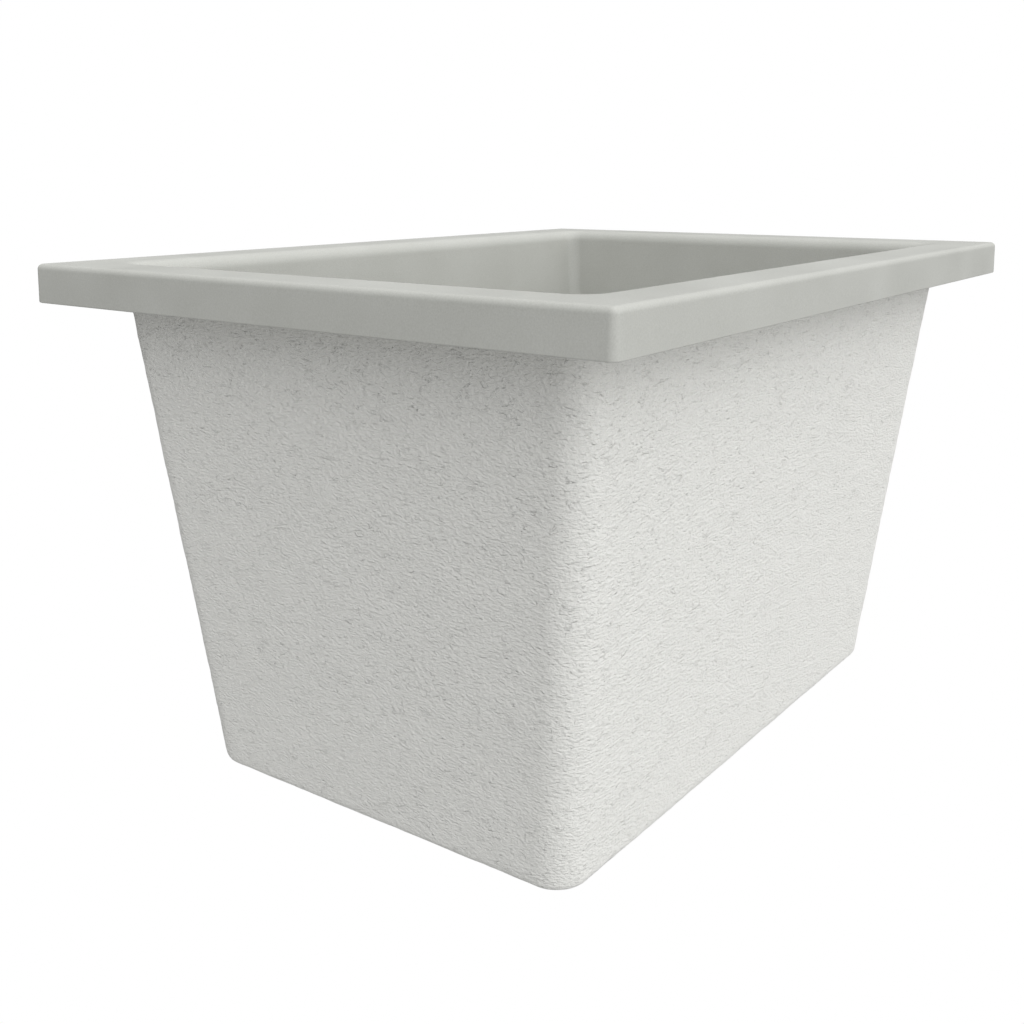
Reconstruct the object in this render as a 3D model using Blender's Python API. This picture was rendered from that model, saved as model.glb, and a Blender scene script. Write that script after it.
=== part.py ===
"""Rectangular wash tub that hangs by its rim, with a basket-strainer waste in its floor.

Metres, +Z up. The origin is the middle of the plane that the rim's bottom edge rests on.
+X runs along the long side.
"""

import math

import bmesh
import bpy

# Rim and skirt
RIM_LENGTH = 0.635  # across the skirt's bottom edge, along X
RIM_WIDTH = 0.4572  # the same along Y
RIM_HEIGHT = 0.0258
SKIRT_FLARE = 0.0011  # how far the skirt leans out from its top to its bottom edge
RIM_EDGE_RADIUS = 0.004
RIM_CORNER_RADIUS = 0.0045
LIP_RADIUS = 0.010
LINER_THICKNESS = 0.0045
SKIRT_BACKING = 0.0035
RIM_BACKING = 0.0035

# Tub
TUB_DEPTH = 0.3472  # from the seat plane to the flat underside
TUB_INSET_TOP = 0.0378  # from the skirt's bottom edge in to the tub's outer wall, at the seat plane
TUB_INSET_BOTTOM = 0.0671
CORNER_RADIUS_TOP = 0.0203
CORNER_RADIUS_BOTTOM = 0.0236
UNDERSIDE_EDGE_RADIUS = 0.006
BACKING_THICKNESS = 0.0048
FLOOR_FILLET = 0.012
FLOOR_FALL = 0.006  # how much the floor falls from its edge to the waste

# Waste
DRAIN_RADIUS = 0.045
RECESS_RADIUS = 0.0595
RECESS_DEPTH = 0.0036
FLANGE_RADIUS = 0.057
CUP_OUTER_RADIUS = 0.0430
SHEET = 0.0012
CUP_DEPTH = 0.032  # straight part of the cup below the flange
SEAT_DEPTH = 0.042  # where the cup's slope meets the spigot
SPIGOT_RADIUS = 0.0238
SPIGOT_BORE = 0.0212
SPIGOT_DEPTH = 0.060
TAILPIECE_RADIUS = 0.01905
TAILPIECE_BORE = 0.01785
TAILPIECE_FLANGE_RADIUS = 0.0227
TAILPIECE_LENGTH = 0.1016
POST_RADIUS = 0.0036
HUB_RADIUS = 0.0082
HUB_BORE = 0.0064
ARM_HALF_WIDTH = 0.0016
CROSSBAR_HEIGHT = 0.006
BASKET_DEPTH = 0.028  # from the flange's top to the basket's floor
BASKET_SHEET = 0.0008
KNOB_RADIUS = 0.0085
KNOB_HEIGHT = 0.014
LOCKNUT_HEIGHT = 0.011
LOCKNUT_RADIUS = 0.0495
LOCKNUT_LUG_RADIUS = 0.0555
COUPLING_OVERLAP = 0.0125  # how far the coupling nut reaches up the spigot

GAP = 0.0003  # between touching pieces
FIT = 0.0002  # running clearance of the post
ARC_STEPS = 6  # facets in each quarter of a tub corner
ROUND = 48  # facets around a turned piece
POST_ROUND = 24  # facets around the post and what sits on it
BASKET_ROUND = 36  # facets around the basket, which set the pitch of its holes

UNDERSIDE = -TUB_DEPTH
SEAT_FLOOR = UNDERSIDE + BACKING_THICKNESS + GAP + LINER_THICKNESS  # floor of the recess at the waste
FLANGE_UNDER = SEAT_FLOOR + 0.0016 + 2 * GAP  # on top of the seal
DECK = FLANGE_UNDER + SHEET  # the top of the strainer's flange
KNOB_TOP = DECK - 0.0005
CROSSBAR_TOP = DECK - SEAT_DEPTH - 0.004
STOPPER_UNDERSIDE = DECK - 0.0385

GREY = (0.56, 0.56, 0.53)
OFF_WHITE = (0.70, 0.70, 0.67)
STEEL = (0.60, 0.60, 0.59)
BLACK = (0.03, 0.03, 0.03)
CARD = (0.30, 0.22, 0.14)
ZINC = (0.52, 0.53, 0.54)
NYLON = (0.80, 0.79, 0.74)
CHROME = (0.68, 0.69, 0.70)
BRASS = (0.62, 0.47, 0.20)


def clear_scene():
    """Remove every object that is already there."""
    for thing in list(bpy.data.objects):
        bpy.data.objects.remove(thing, do_unlink=True)


def material(name, colour, roughness, metallic=0.0):
    """One Principled material."""
    made = bpy.data.materials.new(name)
    made.use_nodes = True
    shader = made.node_tree.nodes["Principled BSDF"]
    shader.inputs["Base Color"].default_value = (*colour, 1.0)
    shader.inputs["Roughness"].default_value = roughness
    shader.inputs["Metallic"].default_value = metallic
    return made


def add_object(name, mesh_builder, finish, angle=35.0):
    """Turn a bmesh into a named object with one material, smooth up to the given angle."""
    bmesh.ops.remove_doubles(mesh_builder, verts=mesh_builder.verts, dist=1e-6)
    bmesh.ops.recalc_face_normals(mesh_builder, faces=mesh_builder.faces)
    mesh = bpy.data.meshes.new(name)
    mesh_builder.to_mesh(mesh)
    mesh_builder.free()
    mesh.materials.append(finish)
    mesh.shade_smooth()
    mesh.set_sharp_from_angle(angle=math.radians(angle))
    made = bpy.data.objects.new(name, mesh)
    bpy.context.scene.collection.objects.link(made)
    return made


def rounded_rectangle(half_x, half_y, radius, z):
    """Points around a rectangle with round corners. With equal sides and radius it is a circle."""
    points = []
    for quarter, (sx, sy) in enumerate(((1, 1), (-1, 1), (-1, -1), (1, -1))):
        for step in range(ARC_STEPS + 1):
            turn = math.radians(90 * (quarter + step / ARC_STEPS))
            x = sx * (half_x - radius) + radius * math.cos(turn)
            y = sy * (half_y - radius) + radius * math.sin(turn)
            points.append((x, y, z))
    return points


def bridge_round(builder, loops):
    """Join each closed loop to the next, and the last to the first."""
    count = len(loops[0])
    for index, loop in enumerate(loops):
        following = loops[(index + 1) % len(loops)]
        for k in range(count):
            j = (k + 1) % count
            builder.faces.new((loop[k], loop[j], following[j], following[k]))


def closed_loft(sections):
    """Join the sections in turn, and the last to the first, into one ring-shaped body."""
    builder = bmesh.new()
    bridge_round(builder, [[builder.verts.new(point) for point in section] for section in sections])
    return builder


def arc(centre, radius, start, end, steps):
    """Points (a, b) on an arc about a centre, angles in degrees."""
    turns = [math.radians(start + (end - start) * step / steps) for step in range(steps + 1)]
    return [(centre[0] + radius * math.cos(t), centre[1] + radius * math.sin(t)) for t in turns]


def tub_inset(z):
    """How far the tub's outer wall stands in from the rim's widest edge, at height z."""
    share = -z / TUB_DEPTH
    return TUB_INSET_TOP + (TUB_INSET_BOTTOM - TUB_INSET_TOP) * share


def tub_corner(z):
    """The tub's outer corner radius at height z."""
    share = -z / TUB_DEPTH
    return CORNER_RADIUS_TOP + (CORNER_RADIUS_BOTTOM - CORNER_RADIUS_TOP) * share


def tub_section(inset, radius, z):
    """A section that stands in by the given inset from the rim's widest edge."""
    return rounded_rectangle(RIM_LENGTH / 2 - inset, RIM_WIDTH / 2 - inset, radius, z)


def wall_section(depth, z, more=0.0):
    """A section through the tub wall, a given depth in from its outer face."""
    return tub_section(tub_inset(z) + depth + more, max(tub_corner(z) - depth - more, 0.004), z)


def disc_section(radius, z):
    """A round section, with as many points as the others."""
    return rounded_rectangle(radius, radius, radius, z)


def floor_turn(depth, fillet, low, steps):
    """Sections round the corner from wall to floor, on the face a given depth in from outside."""
    made = []
    for step in range(steps + 1):
        turn = math.radians(90 * step / steps)
        z = low + fillet * (1 - math.sin(turn))
        made.append(wall_section(depth, z, fillet * (1 - math.cos(turn))))
    return made


def bowl_sections():
    """The liner's upper face: waste hole, floor, wall, lip, rim and the skirt's outside."""
    depth = BACKING_THICKNESS + GAP + LINER_THICKNESS
    floor_low = SEAT_FLOOR + RECESS_DEPTH
    floor_edge = floor_low + FLOOR_FALL
    made = [
        disc_section(DRAIN_RADIUS, SEAT_FLOOR),
        disc_section(RECESS_RADIUS - 0.0015, SEAT_FLOOR),
        disc_section(RECESS_RADIUS, SEAT_FLOOR + 0.0015),
        disc_section(RECESS_RADIUS, floor_low - 0.0012),
        disc_section(RECESS_RADIUS + 0.0012, floor_low),
    ]
    made += list(reversed(floor_turn(depth, FLOOR_FILLET, floor_edge, 6)))
    lip_centre = RIM_HEIGHT - LIP_RADIUS
    wall_top = tub_inset(lip_centre) + depth
    for a, b in arc((0, lip_centre), LIP_RADIUS, 0, 90, 5):
        inset = wall_top - (LIP_RADIUS - a)
        made.append(tub_section(inset, tub_corner(lip_centre) - depth + wall_top - inset, b))
    top_inset = SKIRT_FLARE + RIM_EDGE_RADIUS
    for a, b in arc((0, RIM_HEIGHT - RIM_EDGE_RADIUS), RIM_EDGE_RADIUS, 90, 0, 4):
        made.append(tub_section(top_inset - a, RIM_CORNER_RADIUS - RIM_EDGE_RADIUS + a, b))
    made.append(tub_section(0, RIM_CORNER_RADIUS + SKIRT_FLARE, 0))
    return made


def under_rim_sections(in_from_skirt, below_top, wall_depth, corner):
    """One face under the rim: up inside the skirt, across under the flange and down to the tub wall."""
    top = RIM_HEIGHT - below_top
    return [
        tub_section(in_from_skirt, corner, 0),
        tub_section(in_from_skirt + SKIRT_FLARE * 0.8, corner, top - 0.002),
        tub_section(in_from_skirt + SKIRT_FLARE * 0.8 + 0.002, corner, top),
        tub_section(tub_inset(top) + wall_depth - 0.004, tub_corner(top) - wall_depth + 0.004, top),
        tub_section(tub_inset(top) + wall_depth, tub_corner(top) - wall_depth, top - 0.004),
    ]


def make_basin_liner(finish):
    """The smooth moulded skin, one shell with a hole for the waste."""
    depth = BACKING_THICKNESS + GAP
    under_edge = SEAT_FLOOR - LINER_THICKNESS + RECESS_DEPTH + FLOOR_FALL
    sections = bowl_sections()
    sections += under_rim_sections(LINER_THICKNESS, LINER_THICKNESS, depth, RIM_CORNER_RADIUS)
    sections += floor_turn(depth, FLOOR_FILLET + LINER_THICKNESS, under_edge, 6)
    low = SEAT_FLOOR - LINER_THICKNESS
    sections.append(disc_section(RECESS_RADIUS + LINER_THICKNESS, low + RECESS_DEPTH))
    sections.append(disc_section(RECESS_RADIUS + 0.002, low))
    sections.append(disc_section(DRAIN_RADIUS, low))
    return add_object("basin_liner", closed_loft(sections), finish)


def make_backing_layer(finish):
    """The sprayed layer: outside of the tub, flat underside, under the flange and inside the skirt."""
    liner_under = LINER_THICKNESS + GAP
    under_edge = SEAT_FLOOR - liner_under + RECESS_DEPTH + FLOOR_FALL
    sections = [
        disc_section(DRAIN_RADIUS, SEAT_FLOOR - liner_under),
        disc_section(RECESS_RADIUS + 0.002, SEAT_FLOOR - liner_under),
        disc_section(RECESS_RADIUS + LINER_THICKNESS, SEAT_FLOOR - liner_under + RECESS_DEPTH),
    ]
    sections += list(reversed(floor_turn(BACKING_THICKNESS, FLOOR_FILLET + liner_under, under_edge, 6)))
    corner = RIM_CORNER_RADIUS
    sections += list(reversed(under_rim_sections(liner_under, liner_under, BACKING_THICKNESS, corner)))
    inner = liner_under + SKIRT_BACKING
    sections += under_rim_sections(inner, liner_under + RIM_BACKING, 0.0, corner)
    sections += floor_turn(0.0, UNDERSIDE_EDGE_RADIUS, UNDERSIDE, 4)
    sections.append(disc_section(DRAIN_RADIUS, UNDERSIDE))
    return add_object("backing_layer", closed_loft(sections), finish)


def turned(profile, segments=ROUND):
    """Spin a closed outline of (radius, z) about the Z axis."""
    builder = bmesh.new()
    loops = []
    for k in range(segments):
        turn = 2 * math.pi * k / segments
        loops.append([builder.verts.new((r * math.cos(turn), r * math.sin(turn), z)) for r, z in profile])
    bridge_round(builder, loops)
    return builder


def ring(name, inner, outer, low, high, finish, segments=ROUND):
    """A plain flat ring."""
    outline = [(inner, low), (outer, low), (outer, high), (inner, high)]
    return add_object(name, turned(outline, segments), finish)


def solid_turned(profile, segments=ROUND):
    """Spin an outline that starts and ends on the axis into a solid."""
    builder = bmesh.new()
    loops = []
    for r, z in profile:
        if r < 1e-6:
            loops.append([builder.verts.new((0, 0, z))])
            continue
        turns = [2 * math.pi * k / segments for k in range(segments)]
        loops.append([builder.verts.new((r * math.cos(t), r * math.sin(t), z)) for t in turns])
    for low, high in zip(loops, loops[1:]):
        for k in range(segments):
            j = (k + 1) % segments
            corners = [low[k % len(low)], low[j % len(low)], high[j % len(high)], high[k % len(high)]]
            builder.faces.new(list(dict.fromkeys(corners)))
    return builder


def make_strainer_body(finish):
    """The pressed cup: flange, straight wall, seat slope and outlet spigot."""
    top = DECK
    cup_inner = CUP_OUTER_RADIUS - SHEET
    profile = [
        (SPIGOT_RADIUS, top - SPIGOT_DEPTH),
        (SPIGOT_RADIUS, top - SEAT_DEPTH - SHEET),
        (CUP_OUTER_RADIUS - 0.004, top - CUP_DEPTH - SHEET),
        (CUP_OUTER_RADIUS, top - CUP_DEPTH + 0.003),
        (CUP_OUTER_RADIUS, FLANGE_UNDER - 0.0015),
        (CUP_OUTER_RADIUS + 0.0015, FLANGE_UNDER),
        (FLANGE_RADIUS - 0.0015, FLANGE_UNDER),
        (FLANGE_RADIUS, FLANGE_UNDER - 0.0008),
        (FLANGE_RADIUS, FLANGE_UNDER + 0.0002),
        (FLANGE_RADIUS - 0.0018, top),
        (CUP_OUTER_RADIUS + 0.0008, top),
        (cup_inner, top - 0.002),
        (cup_inner, top - CUP_DEPTH + 0.003),
        (cup_inner - 0.004, top - CUP_DEPTH),
        (SPIGOT_BORE + 0.001, top - SEAT_DEPTH),
        (SPIGOT_BORE, top - SEAT_DEPTH - 0.001),
        (SPIGOT_BORE, top - SPIGOT_DEPTH),
    ]
    return add_object("strainer_body", turned(profile), finish)


def make_seals(rubber, card):
    """Seal under the flange, then rubber ring and card ring under the tub."""
    seal_low, seal_high = SEAT_FLOOR + GAP, FLANGE_UNDER - GAP
    ring("flange_seal", DRAIN_RADIUS + 0.001, FLANGE_RADIUS - 0.002, seal_low, seal_high, rubber)
    low = UNDERSIDE - GAP - 0.003
    ring("underside_gasket", CUP_OUTER_RADIUS + 0.0004, 0.054, low, UNDERSIDE - GAP, rubber)
    ring("friction_washer", CUP_OUTER_RADIUS + 0.0004, 0.0535, low - GAP - 0.001, low - GAP, card)
    return low - GAP - 0.001


def ribbed_nut(name, profile, wide, period, ribs, finish, segments=ROUND):
    """A ring nut: the points marked as rim reach out to the wide radius on some facets in each period."""
    builder = bmesh.new()
    columns = []
    for k in range(segments):
        turn = 2 * math.pi * k / segments
        on_rib = k % period < ribs
        column = []
        for r, z, is_rim in profile:
            reach = wide if is_rim and on_rib else r
            column.append(builder.verts.new((reach * math.cos(turn), reach * math.sin(turn), z)))
        columns.append(column)
    bridge_round(builder, columns)
    return add_object(name, builder, finish)


def make_locknut(under, finish):
    """The large lugged nut that clamps the strainer body to the tub floor."""
    high = under - GAP
    low = high - LOCKNUT_HEIGHT
    bore = CUP_OUTER_RADIUS + GAP
    profile = [
        (bore, low, False),
        (LOCKNUT_RADIUS, low, True),
        (LOCKNUT_RADIUS, high - 0.003, True),
        (LOCKNUT_RADIUS + 0.003, high - 0.003, False),
        (LOCKNUT_RADIUS + 0.003, high, False),
        (bore, high, False),
    ]
    return ribbed_nut("locknut", profile, LOCKNUT_LUG_RADIUS, 12, 3, finish, 72)


def make_outlet_crossbar(finish):
    """Four arms and a hub with a bore, standing in the spigot."""
    low = CROSSBAR_TOP - CROSSBAR_HEIGHT
    reach = SPIGOT_BORE * math.cos(math.pi / ROUND) - GAP
    outline = []
    for quarter in range(4):
        base = math.radians(90 * quarter)
        for radius, side in ((HUB_RADIUS, -1), (reach, -1), (reach, 1), (HUB_RADIUS, 1)):
            turn = base + side * math.asin(ARM_HALF_WIDTH / radius)
            outline.append((radius * math.cos(turn), radius * math.sin(turn)))
        spare = math.asin(ARM_HALF_WIDTH / HUB_RADIUS)
        for step in (1, 2, 3):
            turn = base + spare + (math.pi / 2 - 2 * spare) * step / 4
            outline.append((HUB_RADIUS * math.cos(turn), HUB_RADIUS * math.sin(turn)))
    bore = []
    for x, y in outline:
        turn = math.atan2(y, x)
        bore.append((HUB_BORE * math.cos(turn), HUB_BORE * math.sin(turn)))
    builder = bmesh.new()
    shapes = ((outline, low), (outline, CROSSBAR_TOP), (bore, CROSSBAR_TOP), (bore, low))
    bridge_round(builder, [[builder.verts.new((x, y, z)) for x, y in shape] for shape, z in shapes])
    return add_object("outlet_crossbar", builder, finish)


def make_grip_ring(finish):
    """Ring in the crossbar's hub that grips the post."""
    outer = HUB_BORE * math.cos(math.radians(20)) - GAP
    low = CROSSBAR_TOP - CROSSBAR_HEIGHT + 0.0006
    return ring("post_grip_ring", POST_RADIUS + FIT, outer, low, CROSSBAR_TOP - 0.0006, finish, POST_ROUND)


def basket_rows():
    """The basket's sheet, from its middle to its rim: radius, height and holes (period, open, shift)."""
    floor = DECK - BASKET_DEPTH
    return [
        (POST_RADIUS + GAP + 0.0002, floor, None),
        (0.0110, floor, (4, 2, 0)),
        (0.0145, floor, None),
        (0.0180, floor, (3, 1, 1)),
        (0.0212, floor, None),
        (0.0245, floor, (2, 1, 0)),
        (0.0282, floor, None),
        (0.0315, floor, None),
        (0.0337, floor + 0.0008, None),
        (0.0346, floor + 0.0030, (2, 1, 1)),
        (0.0353, floor + 0.0066, None),
        (0.0358, floor + 0.0092, (2, 1, 0)),
        (0.0365, floor + 0.0128, None),
        (0.0370, floor + 0.0154, (2, 1, 1)),
        (0.0377, floor + 0.0190, None),
        (0.0383, floor + 0.0225, None),
        (0.0390, floor + 0.0238, None),
        (0.0402, floor + 0.0240, None),
    ]


def make_strainer_basket(finish):
    """The perforated cup: a turned sheet with windows left out, given its thickness by Solidify."""
    rows = basket_rows()
    builder = bmesh.new()
    loops = []
    for radius, z, _ in rows:
        turns = [2 * math.pi * k / BASKET_ROUND for k in range(BASKET_ROUND)]
        loops.append([builder.verts.new((radius * math.cos(t), radius * math.sin(t), z)) for t in turns])
    for index in range(len(rows) - 1):
        holes = rows[index][2]
        for k in range(BASKET_ROUND):
            if holes and (k + holes[2]) % holes[0] < holes[1]:
                continue
            j = (k + 1) % BASKET_ROUND
            builder.faces.new((loops[index][k], loops[index][j], loops[index + 1][j], loops[index + 1][k]))
    made = add_object("strainer_basket", builder, finish)
    shell = made.modifiers.new("sheet", "SOLIDIFY")
    shell.thickness = BASKET_SHEET
    shell.offset = 0.0
    shell.use_even_offset = True
    return made


def make_basket_stopper(finish):
    """Rubber disc whose sloping underside closes on the cup's seat."""
    high = DECK - BASKET_DEPTH - BASKET_SHEET / 2 - GAP
    bore = POST_RADIUS + GAP
    slope = (CUP_OUTER_RADIUS - SHEET - 0.004 - SPIGOT_BORE - 0.001) / (SEAT_DEPTH - CUP_DEPTH)
    clear = GAP * math.sqrt(1 + 1 / slope**2)

    def seat(radius):
        return DECK - SEAT_DEPTH + (radius - SPIGOT_BORE - 0.001) / slope + clear

    profile = [
        (bore, STOPPER_UNDERSIDE),
        (0.0205, STOPPER_UNDERSIDE),
        (0.0240, seat(0.0240)),
        (0.0310, seat(0.0310)),
        (0.0318, seat(0.0310) + 0.0016),
        (0.0300, high - 0.0010),
        (0.0290, high),
        (bore, high),
    ]
    return add_object("basket_stopper", turned(profile), finish)


def make_post_and_knob(steel, chrome, brass):
    """The pin through the basket, the knob on its top and the nut that holds the stopper."""
    end = CROSSBAR_TOP - CROSSBAR_HEIGHT - 0.0015
    top = KNOB_TOP - 0.0035
    pin = [(0, end), (POST_RADIUS - 0.001, end), (POST_RADIUS, end + 0.0012), (POST_RADIUS, top), (0, top)]
    add_object("basket_post", solid_turned(pin, POST_ROUND), steel)
    bore = POST_RADIUS + GAP
    low = KNOB_TOP - KNOB_HEIGHT
    outline = [
        (bore, low),
        (KNOB_RADIUS * 0.62, low),
        (KNOB_RADIUS * 0.56, low + KNOB_HEIGHT * 0.30),
        (KNOB_RADIUS * 0.78, low + KNOB_HEIGHT * 0.55),
        (KNOB_RADIUS, low + KNOB_HEIGHT * 0.68),
        (KNOB_RADIUS, low + KNOB_HEIGHT * 0.86),
        (KNOB_RADIUS * 0.82, KNOB_TOP - 0.0004),
        (KNOB_RADIUS * 0.5, KNOB_TOP),
        (0, KNOB_TOP),
    ]
    add_object("lift_knob", solid_turned([(0, top + GAP), (bore, top + GAP)] + outline, POST_ROUND), chrome)
    nut_top = STOPPER_UNDERSIDE - GAP
    add_object("stopper_nut", nut_prism(bore, POST_RADIUS + 0.0024, nut_top - 0.003, nut_top), brass)


def nut_prism(bore, half_flats, low, high):
    """A hexagon nut with a round bore."""
    builder = bmesh.new()
    inner, outer = [], []
    for k in range(POST_ROUND):
        turn = 2 * math.pi * k / POST_ROUND
        off_flat = (turn + math.pi / 6) % (math.pi / 3) - math.pi / 6
        reach = half_flats / math.cos(off_flat)
        inner.append((bore * math.cos(turn), bore * math.sin(turn)))
        outer.append((reach * math.cos(turn), reach * math.sin(turn)))
    shapes = ((inner, low), (outer, low), (outer, high), (inner, high))
    bridge_round(builder, [[builder.verts.new((x, y, z)) for x, y in shape] for shape, z in shapes])
    return builder


def make_tailpiece_set(nylon, zinc, chrome):
    """Washer, flanged tube and slip nut under the spigot."""
    spigot_end = DECK - SPIGOT_DEPTH
    washer_high = spigot_end - GAP
    washer_low = washer_high - 0.002
    ring("tailpiece_washer", TAILPIECE_BORE + 0.0006, SPIGOT_RADIUS - GAP, washer_low, washer_high, nylon)
    high = washer_low - GAP
    under_flange = high - SHEET
    end = high - TAILPIECE_LENGTH
    tube = [
        (TAILPIECE_BORE, end),
        (TAILPIECE_RADIUS, end),
        (TAILPIECE_RADIUS, under_flange - 0.0008),
        (TAILPIECE_RADIUS + 0.0008, under_flange),
        (TAILPIECE_FLANGE_RADIUS, under_flange),
        (TAILPIECE_FLANGE_RADIUS, high),
        (TAILPIECE_BORE + 0.0008, high),
        (TAILPIECE_BORE, high - 0.0008),
    ]
    add_object("tailpiece", turned(tube), chrome)
    lip_high = under_flange - GAP
    nut_low = lip_high - 0.003
    nut_high = spigot_end + COUPLING_OVERLAP
    bore = SPIGOT_RADIUS + GAP
    outer = bore + 0.0028
    profile = [
        (TAILPIECE_RADIUS + 0.0014, nut_low, False),
        (outer - 0.001, nut_low, False),
        (outer, nut_low + 0.001, True),
        (outer, nut_high - 0.0045, True),
        (outer, nut_high - 0.0035, False),
        (outer - 0.0006, nut_high, False),
        (bore, nut_high, False),
        (bore, lip_high, False),
        (TAILPIECE_RADIUS + 0.0014, lip_high, False),
    ]
    ribbed_nut("coupling_nut", profile, outer + 0.0032, 6, 2, zinc)


def main():
    """Build every piece."""
    clear_scene()
    grey = material("moulded_grey", GREY, 0.45)
    rough_white = material("sprayed_backing", OFF_WHITE, 0.85)
    steel = material("stainless_steel", STEEL, 0.3, 1.0)
    rubber = material("black_rubber", BLACK, 0.7)
    card = material("card", CARD, 0.9)
    zinc = material("cast_zinc", ZINC, 0.45, 1.0)
    nylon = material("nylon", NYLON, 0.5)
    chrome = material("chrome_plate", CHROME, 0.12, 1.0)
    brass = material("brass", BRASS, 0.3, 1.0)
    make_basin_liner(grey)
    make_backing_layer(rough_white)
    make_strainer_body(steel)
    clamped_under = make_seals(rubber, card)
    make_locknut(clamped_under, zinc)
    make_outlet_crossbar(steel)
    make_grip_ring(nylon)
    make_strainer_basket(steel)
    make_basket_stopper(rubber)
    make_post_and_knob(steel, chrome, brass)
    make_tailpiece_set(nylon, zinc, chrome)


main()
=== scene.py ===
"""Studio scene of a rectangular wash tub: a smooth moulded skin with a rough sprayed backing, hung by its rim,
with a basket-strainer waste in its floor.

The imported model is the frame. Each class here builds the finished meshes of one sub-assembly around it, in metres,
and dresses them.
"""

import logging
import math
from dataclasses import dataclass
from enum import Enum

import bmesh
import bpy
import numpy as np
from bpy.types import Material, Node, NodeSocket, NodeTree, Object
from mathutils import Matrix, Vector, noise


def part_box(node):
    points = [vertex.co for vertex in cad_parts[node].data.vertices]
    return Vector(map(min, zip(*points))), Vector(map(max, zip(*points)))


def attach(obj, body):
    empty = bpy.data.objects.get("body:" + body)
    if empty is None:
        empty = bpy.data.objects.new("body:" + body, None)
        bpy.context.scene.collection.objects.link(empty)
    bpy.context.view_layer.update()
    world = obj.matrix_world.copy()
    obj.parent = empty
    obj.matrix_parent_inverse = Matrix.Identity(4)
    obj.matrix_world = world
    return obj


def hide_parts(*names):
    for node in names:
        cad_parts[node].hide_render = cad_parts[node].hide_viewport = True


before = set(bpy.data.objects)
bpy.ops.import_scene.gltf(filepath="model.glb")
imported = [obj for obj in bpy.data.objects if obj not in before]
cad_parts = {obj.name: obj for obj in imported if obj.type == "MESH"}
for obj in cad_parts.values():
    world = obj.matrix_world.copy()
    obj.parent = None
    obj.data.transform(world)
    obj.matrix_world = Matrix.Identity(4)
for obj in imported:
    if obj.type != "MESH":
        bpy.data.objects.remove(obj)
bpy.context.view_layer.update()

LOG = logging.getLogger("wash_tub")
MM = 0.001
WELD = 0.001 * MM  # points closer together than this are one
SHARP = math.radians(38)  # an edge that turns more than this is not smoothed over
FLAT = math.radians(172)  # a corner that is opener than this is not rounded
NOISE_LOW, NOISE_HIGH = 0.3, 0.7  # nearly all of a noise lies between these
Outline = list[tuple[float, float]]


class Body(Enum):
    """The bodies of the frame that pieces ride on."""

    TUB = "tub"
    BASKET = "basket"


class Slot(Enum):
    """The record's material slots."""

    SKIN = "moulded_grey"
    BACKING = "sprayed_backing"
    STEEL = "stainless_steel"
    RUBBER = "black_rubber"
    CARD = "card"
    ZINC = "cast_zinc"
    NYLON = "nylon"
    CHROME = "chrome_plate"
    BRASS = "brass"


# ---------------------------------------------------------------------------------------------------------------
# Materials
# ---------------------------------------------------------------------------------------------------------------


def linear(colour: str) -> tuple[float, float, float, float]:
    """Turn an sRGB hex colour to linear light.

    Args:
        colour: Six hex digits, such as "C0C0BA".

    Returns:
        Red, green, blue and an alpha of 1.
    """
    parts = [int(colour[i : i + 2], 16) / 255 for i in (0, 2, 4)]
    red, green, blue = (p / 12.92 if p <= 0.04045 else ((p + 0.055) / 1.055) ** 2.4 for p in parts)
    return (red, green, blue, 1.0)


def add_node(
    tree: NodeTree, kind: str, values: dict | None = None, links: dict | None = None, **settings: object
) -> Node:
    """Add one node with its settings, socket values and links.

    Args:
        tree: The node tree that gets the node.
        kind: The node's type name.
        values: Input socket to its value.
        links: Input socket to the output socket that drives it.
        **settings: Properties of the node itself.

    Returns:
        The new node.
    """
    node = tree.nodes.new(kind)
    for name, value in settings.items():
        setattr(node, name, value)
    for socket, value in (values or {}).items():
        node.inputs[socket].default_value = value
    for socket, source in (links or {}).items():
        tree.links.new(source, node.inputs[socket])
    return node


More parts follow.
